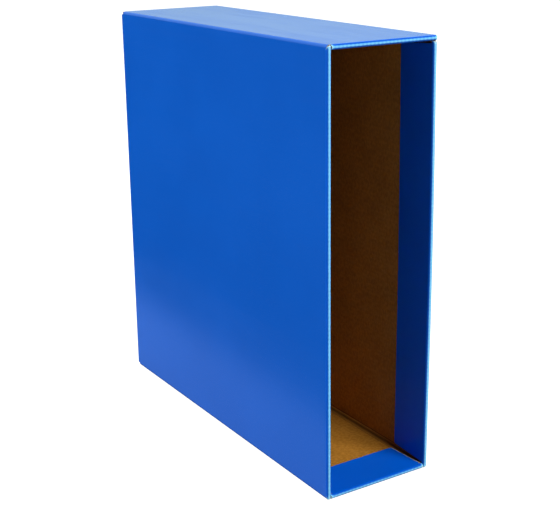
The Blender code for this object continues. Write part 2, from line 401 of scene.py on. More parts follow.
@dataclass(frozen=True)
class KraftLiner:
    """Uncoated brown kraft paper with fibres and flecks, with painted shade in stripes over the flutes and
    in creases, and a painted highlight beside creases.
    """

    light: tuple[float, float, float] = (0.46, 0.205, 0.030)
    dark: tuple[float, float, float] = (0.31, 0.130, 0.014)
    fleck: tuple[float, float, float] = (0.17, 0.064, 0.009)
    # near-black brown: painted shade in the middle and valley of the long creases and inside the bent
    # folds
    painted_crease_shade: tuple[float, float, float] = (0.055, 0.020, 0.004)
    pale_fibre: tuple[float, float, float] = (0.55, 0.30, 0.08)

    def material(self) -> bpy.types.Material:
        """Make the plain kraft.

        Returns:
            The material.
        """
        sheet = NodeSheet("brown_kraft_liner")
        place = sheet.place_in_row()
        across = sheet.attribute("across")
        along = sheet.attribute("along")
        weave = sheet.combined(along, across, 0.0)
        clouds = sheet.noise(place, scale=38.0, detail=5.0, rough=0.6)
        streaks = sheet.noise(sheet.stretched(weave, (2400.0, 260.0, 1.0)), scale=1.0,
                              detail=4.0, rough=0.6)
        dashes = sheet.noise(sheet.stretched(weave, (760.0, 300.0, 1.0)), scale=1.0, detail=2.0, rough=0.6)
        tone = sheet.math("ADD", sheet.window(clouds, 0.3, 0.7, 0.0, 0.35),
                          sheet.window(streaks, 0.3, 0.7, 0.0, 0.30))
        tone = sheet.math("ADD", tone, sheet.window(dashes, 0.35, 0.65, 0.0, 0.35))
        mottle = sheet.noise(sheet.stretched(weave, (430.0, 330.0, 1.0)), scale=1.0, detail=1.0, rough=0.5)
        tone = sheet.math("ADD", tone, sheet.window(mottle, 0.38, 0.62, -0.25, 0.25))
        body = sheet.blend(tone, self.dark, self.light)
        ridges = sheet.flute_ridges(across)
        # darker stripes at the flute pitch: painted shade of the ripple that the flutes press into the
        # liner
        body = sheet.blend(sheet.math("MULTIPLY", ridges, 0.14), body, self.dark)
        knots = sheet.noise(sheet.stretched(weave, (900.0, 420.0, 1.0)), scale=1.0, detail=3.0, rough=0.7)
        body = sheet.blend(sheet.window(knots, 0.66, 0.74, 0.0, 0.75), body, self.fleck)
        hairs = sheet.noise(sheet.stretched(weave, (1900.0, 150.0, 1.0)), scale=1.3, detail=2.0, rough=0.5)
        body = sheet.blend(sheet.window(hairs, 0.68, 0.76, 0.0, 0.5), body, self.pale_fibre)
        # lighter paper on the lips beside a crease valley: painted highlight
        body = sheet.blend(sheet.math("MULTIPLY", sheet.attribute("wear"), 0.45), body,
                           self.pale_fibre)
        # near-black in the middle and valley of a crease and inside bent folds: painted shade
        body = sheet.blend(sheet.math("MULTIPLY", sheet.attribute("crush"), 0.92), body,
                           self.painted_crease_shade)
        sheet.set("Base Color", body)
        sheet.set("Roughness", sheet.window(streaks, 0.2, 0.8, 0.82, 0.94))
        sheet.set("IOR", 1.45)
        sheet.set("Specular IOR Level", 0.25)
        ribbed = sheet.raise_by(ridges, 0.025 * MM)
        felt = sheet.raise_by(streaks, 0.030 * MM, ribbed)
        sheet.set("Normal", sheet.raise_by(sheet.noise(place, scale=5200.0, detail=2.0), 0.012 * MM, felt))
        return sheet.material


@dataclass(frozen=True)
class FlutedMedium:
    """The wavy middle ply: thin recycled paper with starch glue on its crests."""

    light: tuple[float, float, float] = (0.30, 0.165, 0.066)
    dark: tuple[float, float, float] = (0.17, 0.085, 0.030)

    def material(self) -> bpy.types.Material:
        """Make the medium's paper.

        Returns:
            The material.
        """
        sheet = NodeSheet("fluted_medium_paper")
        place = sheet.place_in_row()
        mottle = sheet.noise(place, scale=300.0, detail=5.0, rough=0.65)
        fibre = sheet.noise(sheet.stretched(place, (1800.0, 300.0, 1800.0)), scale=1.0, detail=3.0)
        tone = sheet.math("MULTIPLY", sheet.window(mottle, 0.3, 0.7), fibre)
        sheet.set("Base Color", sheet.blend(tone, self.dark, self.light))
        sheet.set("Roughness", sheet.window(fibre, 0.2, 0.8, 0.85, 0.97))
        sheet.set("Specular IOR Level", 0.2)
        sheet.set("Normal", sheet.raise_by(fibre, 0.03 * MM))
        return sheet.material


@dataclass(frozen=True)
class CutPaper:
    """A die-cut edge of one ply: torn fibres in thin layers."""

    name: str
    core: tuple[float, float, float]
    soiled: tuple[float, float, float]

    def material(self) -> bpy.types.Material:
        """Make the cut edge's finish.

        Returns:
            The material.
        """
        sheet = NodeSheet(self.name)
        place = sheet.place_in_row()
        torn = sheet.noise(place, scale=1700.0, detail=6.0, rough=0.7)
        layers = sheet.noise(sheet.stretched(place, (9000.0, 500.0, 500.0)), scale=1.0, detail=2.0)
        tone = sheet.math("ADD", sheet.window(torn, 0.35, 0.65, 0.0, 0.7),
                          sheet.math("MULTIPLY", layers, 0.3))
        sheet.set("Base Color", sheet.blend(tone, self.soiled, self.core))
        sheet.set("Roughness", sheet.window(torn, 0.3, 0.7, 0.8, 0.95))
        sheet.set("Specular IOR Level", 0.25)
        sheet.set("Normal", sheet.raise_by(torn, 0.08 * MM))
        return sheet.material


@dataclass(frozen=True)
class DriedGlue:
    """A film of dried dispersion glue, yellowish, with bubbles and a soft shine."""

    thin: tuple[float, float, float] = (0.80, 0.73, 0.52)
    thick: tuple[float, float, float] = (0.62, 0.48, 0.25)

    def material(self) -> bpy.types.Material:
        """Make the glue's finish.

        Returns:
            The material.
        """
        sheet = NodeSheet("dried_dispersion_glue")
        place = sheet.place_in_row()
        pools = sheet.noise(place, scale=160.0, detail=4.0, rough=0.6)
        bubbles = sheet.put("ShaderNodeTexVoronoi")
        sheet.feed(bubbles.inputs["Vector"], place)
        bubbles.inputs["Scale"].default_value = 1100.0
        rings = sheet.window(bubbles.outputs["Distance"], 0.05, 0.35)
        sheet.set("Base Color", sheet.blend(sheet.window(pools, 0.3, 0.7), self.thin,
                                            self.thick))
        sheet.set("Roughness", sheet.window(pools, 0.3, 0.7, 0.22, 0.45))
        sheet.set("Normal", sheet.raise_by(rings, 0.03 * MM))
        return sheet.material


class Finishes:
    """Every finish of the box, made once and shared by its pieces."""

    def __init__(self) -> None:
        """Make the materials."""
        white_cut = CutPaper("white_cut_edge", (0.58, 0.56, 0.52), (0.36, 0.30, 0.23))
        brown_cut = CutPaper("brown_cut_edge", (0.42, 0.26, 0.12), (0.22, 0.12, 0.05))
        self.faces = {
            Face.PRINT: LaminatedPrint().material(),
            # the hems and rims get a copy of the blue print whose colour is painted brighter to stand in
            # for more light on them, with less and softer gloss
            Face.HEM_PRINT: LaminatedPrint(
                "laminated_blue_print_painted_brighter_for_the_hems", (0.0008, 0.104, 0.60),
                (0.0005, 0.092, 0.55), gloss=0.30, reflection=0.10).material(),
            Face.KRAFT: KraftLiner().material(),
            Face.MEDIUM: FlutedMedium().material(),
            Face.WHITE_CUT: white_cut.material(),
            Face.BROWN_CUT: brown_cut.material(),
        }
        self.glue = DriedGlue().material()


# --------------------------------------------------------------------------
# Lays: where a point of the flat blank comes to rest in the folded box
# --------------------------------------------------------------------------

Grid = np.ndarray
NEAR_STOPS = (0.4 * MM, 1.0 * MM, 2.0 * MM, 4.0 * MM)
CORNER_STOPS = 9


class Lay(Protocol):
    """Turns places on the flat board into places on the folded box."""

    def place(self, along: Grid, across: Grid, depth: Grid) -> Grid:
        """Return points of the folded box.

        Args:
            along: distances with the flutes.
            across: distances across the flutes.
            depth: distances from the printed face into the board.

        Returns:
            Points, one row of three for each distance.
        """


@dataclass(frozen=True)
class FlatLay:
    """A flat stretch of board."""

    origin: Vector
    along: Vector
    across: Vector
    inward: Vector

    def place(self, along: Grid, across: Grid, depth: Grid) -> Grid:
        """Return the points of the flat stretch.

        Args:
            along: distances with the flutes.
            across: distances across the flutes.
            depth: distances from the printed face into the board.

        Returns:
            Points, one row of three for each distance.
        """
        parts = ((along, self.along), (across, self.across), (depth, self.inward))
        return np.array(self.origin) + sum(d[..., None] * np.array(axis) for d, axis in parts)


@dataclass(frozen=True)
class RolledLay:
    """A stretch of board bent round a straight axis, with flat lips at both ends."""

    axis_point: Vector
    axis: Vector
    start: Vector
    towards: Vector
    radius: float
    turn: float
    roll: Roll = Roll.ACROSS_FLUTES

    def place(self, along: Grid, across: Grid, depth: Grid) -> Grid:
        """Return the points of the bent stretch.

        Args:
            along: distances with the flutes, from the start of the bend if it crosses them.
            across: distances across the flutes.
            depth: distances from the printed face towards the axis.

        Returns:
            Points, one row of three for each distance.
        """
        bent, straight = along, across
        if self.roll is Roll.WITH_FLUTES:
            bent, straight = across, along
        angle = np.clip(bent / self.radius, 0.0, self.turn)
        lip = bent - angle * self.radius
        start, towards = np.array(self.start), np.array(self.towards)
        cosine, sine = np.cos(angle)[..., None], np.sin(angle)[..., None]
        radial = start * cosine + towards * sine
        tangent = towards * cosine - start * sine
        return (np.array(self.axis_point) + radial * (self.radius - depth)[..., None]
                + tangent * lip[..., None] + np.array(self.axis) * straight[..., None])


@dataclass(frozen=True)
class PathLay:
    """A strip whose section follows a curve, as the pressed-in inside of a crease does."""

    corner: Vector
    first: Vector
    second: Vector
    line: Vector
    path: Grid

    def place(self, along: Grid, across: Grid, depth: Grid) -> Grid:
        """Return the points of the strip.

        Args:
            along: distances along the crease.
            across: places on the section's curve, from nothing to one.
            depth: distances from the curve towards the outer corner.

        Returns:
            Points, one row of three for each distance.
        """
        steps = np.linspace(0.0, 1.0, len(self.path))
        u, v = (np.interp(across, steps, self.path[:, i]) for i in (0, 1))
        slope = np.gradient(self.path, axis=0)
        slope = slope / np.linalg.norm(slope, axis=1)[:, None]
        out_u = np.interp(across, steps, slope[:, 1])
        out_v = np.interp(across, steps, -slope[:, 0])
        sign = -np.sign((out_u + out_v).mean())
        u, v = u + sign * out_u * depth, v + sign * out_v * depth
        parts = ((u, self.first), (v, self.second), (along, self.line))
        return np.array(self.corner) + sum(d[..., None] * np.array(axis) for d, axis in parts)


@dataclass(frozen=True)
class Outline:
    """The cut shape of a flap: root at depth 0, free edge at full depth."""

    low: float
    high: float
    depth: float
    taper: float = 0.0
    corner: float = 0.0
    shoulder: float = 0.0
    shoulder_reach: float = 3.0 * MM

    def ends(self, depth: Grid) -> tuple[Grid, Grid]:
        """Return where the two side edges are.

        Args:
            depth: distances from the root.

        Returns:
            The low and the high edge at each distance.
        """
        past = np.clip(depth - (self.depth - self.corner), 0.0, self.corner)
        inset = self.taper * depth / self.depth
        inset = inset + self.shoulder * fade(depth, self.shoulder_reach)
        inset = inset + self.corner - np.sqrt(self.corner**2 - past**2)
        return self.low + inset, self.high - inset

    def stops(self, count: int) -> Grid:
        """Return depths that are closer together near both ends and at the corners.

        Args:
            count: how many evenly spaced depths there are.

        Returns:
            The depths, from the root to the free edge.
        """
        turn = np.linspace(0.0, math.pi / 2, CORNER_STOPS)
        corner = self.depth - self.corner * (1.0 - np.sin(turn))
        return np.unique(np.round(np.concatenate(
            (crowded(0.0, self.depth - self.corner, count), corner)), 7))


def crowded(low: float, high: float, count: int) -> Grid:
    """Return stops between two ends, with extra ones close to each end.

    Args:
        low: the first stop.
        high: the last stop.
        count: how many evenly spaced stops there are.

    Returns:
        The stops in order.
    """
    near = np.array(NEAR_STOPS)
    near = near[near < (high - low) / 3]
    return np.unique(np.concatenate(
        (np.linspace(low, high, count), low + near, high - near)))


def fade(distance: Grid, reach: float) -> Grid:
    """Return one at an edge and less and less away from it."""
    return np.exp(-distance / reach)


def arch(share: Grid) -> Grid:
    """Return nothing at both ends of a stretch and one in its middle."""
    return np.sin(np.clip(share, 0.0, 1.0) * math.pi)


@dataclass(frozen=True)
class Stripe:
    """A soft mark that runs along a crease."""

    middle: float
    width: float
    strength: float = 1.0

    def at(self, reach: Grid) -> Grid:
        """Return the mark's strength at distances from the corner."""
        return self.strength * np.exp(-((reach - self.middle) / self.width) ** 2)


# --------------------------------------------------------------------------
# Meshes
# --------------------------------------------------------------------------


def quads_of(*corners: Grid) -> Grid:
    """Return one row of four point numbers for each place in four grids."""
    return np.stack([corner.ravel() for corner in corners], axis=1)


@dataclass
class Bow:
    """How the tall walls of the empty box belly outwards towards the mouth."""

    mouth_y: float
    back_y: float
    height: float
    half_width: float
    right: float = 1.1 * MM
    left: float = 0.35 * MM
    pinch: float = 0.30 * MM
    pinch_reach: float = 7.0 * MM
    rise_power: float = 1.3
    mouth_power: float = 1.6

    def shift(self, points: Grid) -> Grid:
        """Return the points of the carton with the walls bowed.

        Args:
            points: rows of three.

        Returns:
            The moved points.
        """
        near = np.clip((self.back_y - points[:, 1]) / (self.back_y - self.mouth_y), 0.0, 1.0)
        rise = np.sin(math.pi * np.clip(points[:, 2] / self.height, 0.0, 1.0)) ** self.rise_power
        side = points[:, 0] / self.half_width
        most = np.where(side > 0.0, self.right, self.left)
        tucked = self.pinch * fade(points[:, 1] - self.mouth_y, self.pinch_reach)
        moved = points.copy()
        moved[:, 0] += side * rise * (most * near**self.mouth_power - tucked * (side < 0.0))
        return moved


@dataclass
class Draft:
    """A mesh in the making: closed thin plies, each with its finishes."""

    points: list[Grid] = field(default_factory=list)
    quads: list[Grid] = field(default_factory=list)
    finishes: list[Grid] = field(default_factory=list)
    marks: dict[str, list[Grid]] = field(
        default_factory=lambda: {"along": [], "across": [], "wear": [], "crush": []})
    count: int = 0

    def add_ply(self, lay: Lay, along: Grid, across: Grid, outer: Grid, inner: Grid,
                faces: tuple[Face, Face, Face], wear: Grid | float = 0.0,
                crush: Grid | float = 0.0) -> None:
        """Add one closed ply between two depths.

        Args:
            lay: where the flat board comes to rest.
            along: grid of distances with the flutes.
            across: grid of distances across the flutes.
            outer: depth of the ply's face on the printed side.
            inner: depth of its other face.
            faces: finishes of the outer face, the inner face and the cut edges.
            wear: how rubbed each point is, and how much painted highlight it takes.
            crush: how much painted shade darkens each point.
        """
        grids = np.broadcast_arrays(along, across, outer, inner, wear, crush)
        along, across, outer, inner, wear, crush = (np.asarray(g, float) for g in grids)
        top = lay.place(along, across, outer)
        under = lay.place(along, across, inner)
        rows, columns = along.shape
        t = self.count + np.arange(rows * columns).reshape(rows, columns)
        u = t + rows * columns
        sheets = [
            quads_of(t[:-1, :-1], t[1:, :-1], t[1:, 1:], t[:-1, 1:]),
            quads_of(u[:-1, :-1], u[:-1, 1:], u[1:, 1:], u[1:, :-1]),
            np.concatenate((
                quads_of(t[0, :-1], t[0, 1:], u[0, 1:], u[0, :-1]),
                quads_of(t[-1, 1:], t[-1, :-1], u[-1, :-1], u[-1, 1:]),
                quads_of(t[1:, 0], t[:-1, 0], u[:-1, 0], u[1:, 0]),
                quads_of(t[:-1, -1], t[1:, -1], u[1:, -1], u[:-1, -1]))),
        ]
        i, j = min(rows // 2, rows - 2), min(columns // 2, columns - 2)
        facing = np.cross(top[i + 1, j] - top[i, j], top[i, j + 1] - top[i, j])
        if facing @ (top[i, j] - under[i, j]) < 0.0:
            sheets = [s[:, ::-1] for s in sheets]
        self.points.append(np.concatenate((top.reshape(-1, 3), under.reshape(-1, 3))))
        for quads, face in zip(sheets, faces):
            self.quads.append(quads)
            self.finishes.append(np.full(len(quads), int(face)))
        values = {"along": along, "across": across, "wear": wear, "crush": crush}
        for name, grid in values.items():
            self.marks[name].append(np.tile(grid.ravel(), 2))
        self.count += 2 * rows * columns

    def finish(self, name: str, materials: dict[Face, bpy.types.Material],
               bow: Bow | None) -> bpy.types.Object:
        """Make the object.

        Args:
            name: the piece's name.
            materials: the finish of each face.
            bow: the carton's bow, or None for a piece that moves.

        Returns:
            The new object.
        """
        points = np.concatenate(self.points)
        if bow is not None:
            points = bow.shift(points)
        quads = np.concatenate(self.quads)
        mesh = bpy.data.meshes.new(name)
        mesh.from_pydata(points.tolist(), [], quads.tolist())
        for face in Face:
            mesh.materials.append(materials[face])
        mesh.polygons.foreach_set("material_index", np.concatenate(self.finishes))
        for label, grids in self.marks.items():
            layer = mesh.attributes.new(label, "FLOAT", "POINT")
            layer.data.foreach_set("value", np.concatenate(grids).astype(np.float32))
        mesh.shade_smooth()
        mesh.set_sharp_from_angle(angle=SHARP_ANGLE)
        mesh.update()
        piece = bpy.data.objects.new(name, mesh)
        bpy.context.scene.collection.objects.link(piece)
        return piece


@dataclass(frozen=True)
class Ends:
    """How much of the kraft liner another piece covers at a panel's two sides."""

    low: float = 0.0
    high: float = 0.0


@dataclass(frozen=True)
class Board:
    """Micro-fluted board: its plies and how they are laid up."""

    thickness: float
    print_ply: float = 0.32 * MM
    kraft_ply: float = 0.22 * MM
    medium_ply: float = 0.13 * MM
    stops_per_flute: int = 8
    clearance: float = 0.01 * MM
    pressed: float = 0.8
    side_stops: int = 30
    # A long stretch keeps only every third row of its medium.
    thin_from: int = 10
    thin_by: int = 3

    @property
    def middle(self) -> float:
        """Depth of the medium's middle line."""
        return (self.print_ply + self.thickness - self.kraft_ply) / 2

    @property
    def swing(self) -> float:
        """Half the height of a flute."""
        free = self.thickness - self.print_ply - self.kraft_ply - self.medium_ply
        return free / 2 - self.clearance

    def wave(self, across: Grid, share: float = 1.0) -> Grid:
        """Return the depth of the medium, for a share of its full height."""
        turn = 2 * math.pi * across / FLUTE_PITCH
        return self.middle + share * self.swing * np.cos(turn)

    def lay_up(self, draft: Draft, lay: Lay, along: Grid, low: Grid, high: Grid,
               wear: Callable[[Grid, Grid], Grid] | None = None, beads: float = 0.0,
               ends: Ends = Ends(), stops: int = 40, printed: Face = Face.PRINT) -> None:
        """Add the three plies of a stretch whose rows run across the flutes.

        Args:
            draft: the mesh to add to.
            lay: where the board comes to rest.
            along: distances with the flutes, one for each row.
            low: where each row begins.
            high: where each row ends.
            wear: gives the rub of the printed face, and the painted highlight of its folded crests, from
                along and across.
            beads: height of the beads where flutes cross a tight fold.
            ends: strips of the kraft liner that another piece covers.
            stops: how many points the smooth liners have in each row.
            printed: the finish of the printed face.
        """
        width = float(np.max(high) - np.min(low))
        fine = max(2, round(width / FLUTE_PITCH * self.stops_per_flute)) + 1
        coarse = crowded(0.0, width, stops) / width
        shares = np.linspace(0.0, 1.0, fine) if beads else coarse
        rows = along[:, None]

        def spread(portions: Grid, trim: Ends = Ends()) -> Grid:
            """Return places across each row, less what the ends cover."""
            start, stop = (low + trim.low)[:, None], (high - trim.high)[:, None]
            return start + portions[None, :] * (stop - start)

        across = spread(shares)
        bent = arch((rows - along[0]) / (along[-1] - along[0]))
        skin = -beads * bent * (0.5 + 0.5 * np.cos(2 * math.pi * across / FLUTE_PITCH))
        # rub and painted highlight of the printed face
        rub = wear(rows, across) if wear else 0.0
        draft.add_ply(lay, rows, across, skin, self.print_ply,
                      (printed, Face.WHITE_CUT, Face.WHITE_CUT), rub)
        few = along
        if not beads and len(along) >= self.thin_from:
            few = np.unique(np.append(along[::self.thin_by], along[-1]))
        start, stop = (np.interp(few, along, end)[:, None] for end in (low, high))
        across = start + np.linspace(0.0, 1.0, fine)[None, :] * (stop - start)
        self.add_medium(draft, lay, few[:, None], across,
                        self.wave(across, self.pressed if beads else 1.0))
        self.add_kraft(draft, lay, rows, spread(coarse, ends))

    def add_print(self, draft: Draft, lay: Lay, along: Grid, across: Grid,
                  wear: Grid | float = 0.0) -> None:
        """Add a smooth printed liner.

        Args:
            draft: the mesh to add to.
            lay: where the board comes to rest.
            along: grid of distances with the flutes.
            across: grid of distances across the flutes.
            wear: how rubbed each point is, and how much painted highlight it takes.
        """
        draft.add_ply(lay, along, across, 0.0, self.print_ply,
                      (Face.PRINT, Face.WHITE_CUT, Face.WHITE_CUT), wear)

    def add_medium(self, draft: Draft, lay: Lay, along: Grid, across: Grid,
                   wave: Grid) -> None:
        """Add the fluted medium.

        Args:
            draft: the mesh to add to.
            lay: where the board comes to rest.
            along: grid of distances with the flutes.
            across: grid of distances across the flutes.
            wave: depth of the medium's middle.
        """
        half = self.medium_ply / 2
        draft.add_ply(lay, along, across, wave - half, wave + half,
                      (Face.MEDIUM, Face.MEDIUM, Face.BROWN_CUT))

    def add_kraft(self, draft: Draft, lay: Lay, along: Grid, across: Grid,
                  crush: Grid | float = 0.0) -> None:
        """Add a smooth kraft liner.

        Args:
            draft: the mesh to add to.
            lay: where the board comes to rest.
            along: grid of distances with the flutes.
            across: grid of distances across the flutes.
            crush: how much painted shade darkens each point.
        """
        draft.add_ply(lay, along, across, self.thickness - self.kraft_ply, self.thickness,
                      (Face.KRAFT, Face.KRAFT, Face.BROWN_CUT), crush=crush)

    def lay_sideways(self, draft: Draft, lay: Lay, outline: Outline) -> None:
        """Add the plies of a flap whose root runs with the flutes.

        Args:
            draft: the mesh to add to.
            lay: where the board comes to rest.
            outline: the flap's shape, its depth taken across the flutes.
        """
        count = round(outline.depth / FLUTE_PITCH * self.stops_per_flute) + 1

        def spread(depths: Grid) -> tuple[Grid, Grid]:
            """Return the grids of places along and across the flutes.

            Args:
                depths: distances from the root, one for each row.

            Returns:
                The grid along and the grid across.
            """
            low, high = (end[:, None] for end in outline.ends(depths))
            shares = np.linspace(0.0, 1.0, self.side_stops)[None, :]
            return low + shares * (high - low), depths[:, None]

        coarse = spread(outline.stops(count=8))
        fine = spread(np.linspace(0.0, outline.depth, count))
        self.add_print(draft, lay, *coarse)
        self.add_medium(draft, lay, *fine, self.wave(fine[1]))
        self.add_kraft(draft, lay, *coarse)


# --------------------------------------------------------------------------
# The box's own sub-assemblies
# --------------------------------------------------------------------------


@dataclass
class Workshop:
    """What every sub-assembly shares: the board, the finishes and the carton's bow."""

    board: Board
    finishes: Finishes
    bow: Bow
    lip: float = 0.3 * MM
    made: list[bpy.types.Object] = field(default_factory=list)

    def dress(self, draft: Draft, name: str, node: str, body: str,
              slot: Slot = Slot.PRINTED, bowed: bool = True) -> bpy.types.Object:
        """Make a rigid piece that stands for one CAD node.

        Args:
            draft: the piece's mesh.
            name: the piece's name.
            node: the CAD node that it replaces.
            body: the body that it moves with.
            slot: the record's material slot; not used.
            bowed: whether the carton's bow applies.

        Returns:
            The new piece.
        """
        piece = draft.finish(name, self.finishes.faces, self.bow if bowed else None)
        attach(piece, body)
        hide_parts(node)
        self.made.append(piece)
        return piece

    def dress_hinge(self, draft: Draft, name: str, node: str, bodies: tuple[str, str],
                    start: Vector, end: Vector) -> bpy.types.Object:
        """Make a fold piece that stands for one CAD node; it is attached to no body and is not made to
        bend.

        Args:
            draft: the piece's mesh.
            name: the piece's name.
            node: the CAD node that it replaces.
            bodies: the still body and the moving one; not used.
            start: where the bend begins; not used.
            end: where the bend ends; not used.

        Returns:
            The new piece.
        """
        piece = draft.finish(name, self.finishes.faces, None)
        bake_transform(piece)
        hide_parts(node)
        self.made.append(piece)
        return piece


@dataclass
class Tube:
    """The four walls, the folds between them and the glued tab that closes them."""

    shop: Workshop
    outer_radius: float = 2.3 * MM
    bead_reach: float = 5.5 * MM
    tab_chamfer: float = 6.0 * MM
    # lighter film beside and over the long creases: partly stretch whitening, partly a painted highlight
    crease_stretch_and_highlight: float = 0.34
    medium_back: float = 1.0 * MM
    kraft_back: float = 1.6 * MM
    wear_reach: float = 0.5 * MM
    crumple_share: float = 0.4
    crumple_half_waves: int = 6
    # marks on the inside kraft of a long crease: painted shade in its middle and in a thin valley near
    # each wall, and a painted highlight on the lip beside that valley
    painted_hollow_shade: Stripe = Stripe(2.4 * MM, 1.3 * MM)
    painted_groove_shade: Stripe = Stripe(4.75 * MM, 0.35 * MM, 0.9)
    painted_ridge_highlight: Stripe = Stripe(4.1 * MM, 0.3 * MM, 0.8)
    turn_stops: int = 17
    section_stops: int = 61
    steps_per_knot: int = 12
    # Millimetres inwards from the two outer faces, from one wall to the corner's middle.
    section: tuple[tuple[float, float], ...] = (
        (5.5, 1.5), (5.15, 1.44), (4.75, 1.26), (4.35, 1.30), (3.85, 1.72),
        (3.25, 2.24), (2.68, 2.68))

    def build(self) -> None:
        """Make every piece of the tube."""
        self.wall("left_wall", "+X", "+Z", Ends(self.overlap, self.overlap))
        self.wall("right_wall", "-X", "+Z", Ends(self.overlap, self.overlap))
        self.wall("bottom_wall", "+Z", "+X", Ends(self.overlap, self.overlap))
        self.wall("top_wall", "-Z", "+X", Ends(self.overlap, 0.0))
        self.crease("bottom_left_crease", "-X", "-Z")
        self.crease("bottom_right_crease", "+X", "-Z")
        self.crease("top_left_crease", "-X", "+Z")
        self.crease("seam_crease", "+X", "+Z")
        self.tab()

    @property
    def overlap(self) -> float:
        """Width of the wall's kraft that a crease's crushed strip covers."""
        return self.bead_reach - self.outer_radius - self.shop.lip

    def wall(self, node: str, inward: str, across: str, ends: Ends) -> None:
        """Make one wall of the tube.

        Args:
            node: the CAD node.
            inward: the way into the box.
            across: the way across the flutes.
            ends: strips of kraft that the creases cover.
        """
        low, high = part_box(node)
        into, over = AXES[inward], AXES[across]
        outer = low if max(into) > 0.5 else high
        origin = Vector(abs(into[i]) * outer[i] for i in range(3))
        lay = FlatLay(origin, AXES["+Y"], over, into)
        along = crowded(low.y, high.y, count=34)
        start, stop = low.dot(over), high.dot(over)

        def wear(rows: Grid, columns: Grid) -> Grid:
            """Return the lighter film beside the wall's two creases: partly stretch whitening, partly a
            painted highlight.
            """
            edge = np.minimum(columns - start, stop - columns)
            return self.crease_stretch_and_highlight * fade(np.clip(edge, 0.0, None), self.wear_reach) + 0.0 * rows

        draft = Draft()
        self.shop.board.lay_up(draft, lay, along, np.full(len(along), start),
                               np.full(len(along), stop), wear, ends=ends, stops=60)
        self.shop.dress(draft, node + "_board", node, "carton")

    def crushed_section(self) -> Grid:
        """Return the inside of a crease as a smooth curve from wall to wall.

        Returns:
            Points, each a distance inwards from either outer face.
        """
        half = np.array(self.section) * MM
        knots = np.concatenate((half, half[-2::-1, ::-1]))
        padded = np.concatenate((2 * knots[:1] - knots[1:2], knots, 2 * knots[-1:] - knots[-2:-1]))
        fine = np.linspace(0.0, len(knots) - 1.0 - 1e-9, self.steps_per_knot * len(knots))
        whole, part = fine.astype(int), (fine % 1.0)[:, None]
        p0, p1, p2, p3 = (padded[whole + k] for k in range(4))
        return 0.5 * (2 * p1 + (p2 - p0) * part + (2 * p0 - 5 * p1 + 4 * p2 - p3) * part**2
                      + (3 * p1 - p0 - 3 * p2 + p3) * part**3)

    def crease(self, node: str, side: str, level: str) -> None:
        """Make one long crease: a rounded outside and a pressed, beaded inside, whose kraft carries
        painted shade and a painted highlight.

        Args:
            node: the CAD node.
            side: the side of the box that it is on.
            level: whether it is at the top or the bottom.
        """
        board, lip = self.shop.board, self.shop.lip
        low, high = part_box(node)
        out, up = AXES[side], AXES[level]
        face_x = high.x if out.x > 0 else low.x
        face_z = high.z if up.z > 0 else low.z
        corner = Vector((face_x, 0.0, face_z))
        centre = corner - (out + up) * self.outer_radius
        lay = RolledLay(centre, AXES["+Y"], out, up, self.outer_radius, math.pi / 2,
                        Roll.WITH_FLUTES)
        along = crowded(low.y, high.y, count=34)[:, None]
        arc = self.outer_radius * math.pi / 2
        turn = np.concatenate(([-lip], np.linspace(0.0, arc, self.turn_stops), [arc + lip]))[None, :]
        draft = Draft()
        # lighter film over the crest: partly stretch whitening, partly a painted highlight
        board.add_print(draft, lay, along, turn, self.crease_stretch_and_highlight * arch(turn / arc) ** 2)
        waves = np.cos(turn / arc * self.crumple_half_waves * math.pi)
        rows = np.unique(np.clip(along, low.y + self.medium_back, None))[:, None]
        board.add_medium(draft, lay, rows, turn,
                         board.middle + board.swing * self.crumple_share * waves)
        path = self.crushed_section()
        inner = PathLay(corner, -out, -up, AXES["+Y"], path)
        places = np.linspace(0.0, 1.0, self.section_stops)[None, :]
        reach = np.interp(places, np.linspace(0.0, 1.0, len(path)), path.max(axis=1))
        # painted shade in the middle and in the thin valley of the crease's inside
        painted_crease_shade = np.maximum(self.painted_hollow_shade.at(reach), self.painted_groove_shade.at(reach))
        start = max(low.y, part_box("bottom_wall")[0].y)
        rows = np.unique(np.clip(along, start + self.kraft_back, None))[:, None]
        # the inside kraft: a painted highlight on the lips, painted shade in the middle and the valley
        draft.add_ply(inner, rows, places, board.kraft_ply, 0.0,
                      (Face.KRAFT, Face.KRAFT, Face.BROWN_CUT), self.painted_ridge_highlight.at(reach), painted_crease_shade)
        self.shop.dress(draft, node + "_fold", node, "carton")

    def tab(self) -> None:
        """Make the tab that is glued under the top wall."""
        low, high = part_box("seam_tab")
        lay = FlatLay(Vector((high.x, 0.0, high.z)), AXES["+Y"], AXES["-X"], AXES["-Z"])
        outline = Outline(low.y, high.y, high.x - low.x, self.tab_chamfer)
        draft = Draft()
        self.shop.board.lay_sideways(draft, lay, outline)
        self.shop.dress(draft, "glued_seam_tab", "seam_tab", "carton", Slot.LINER)


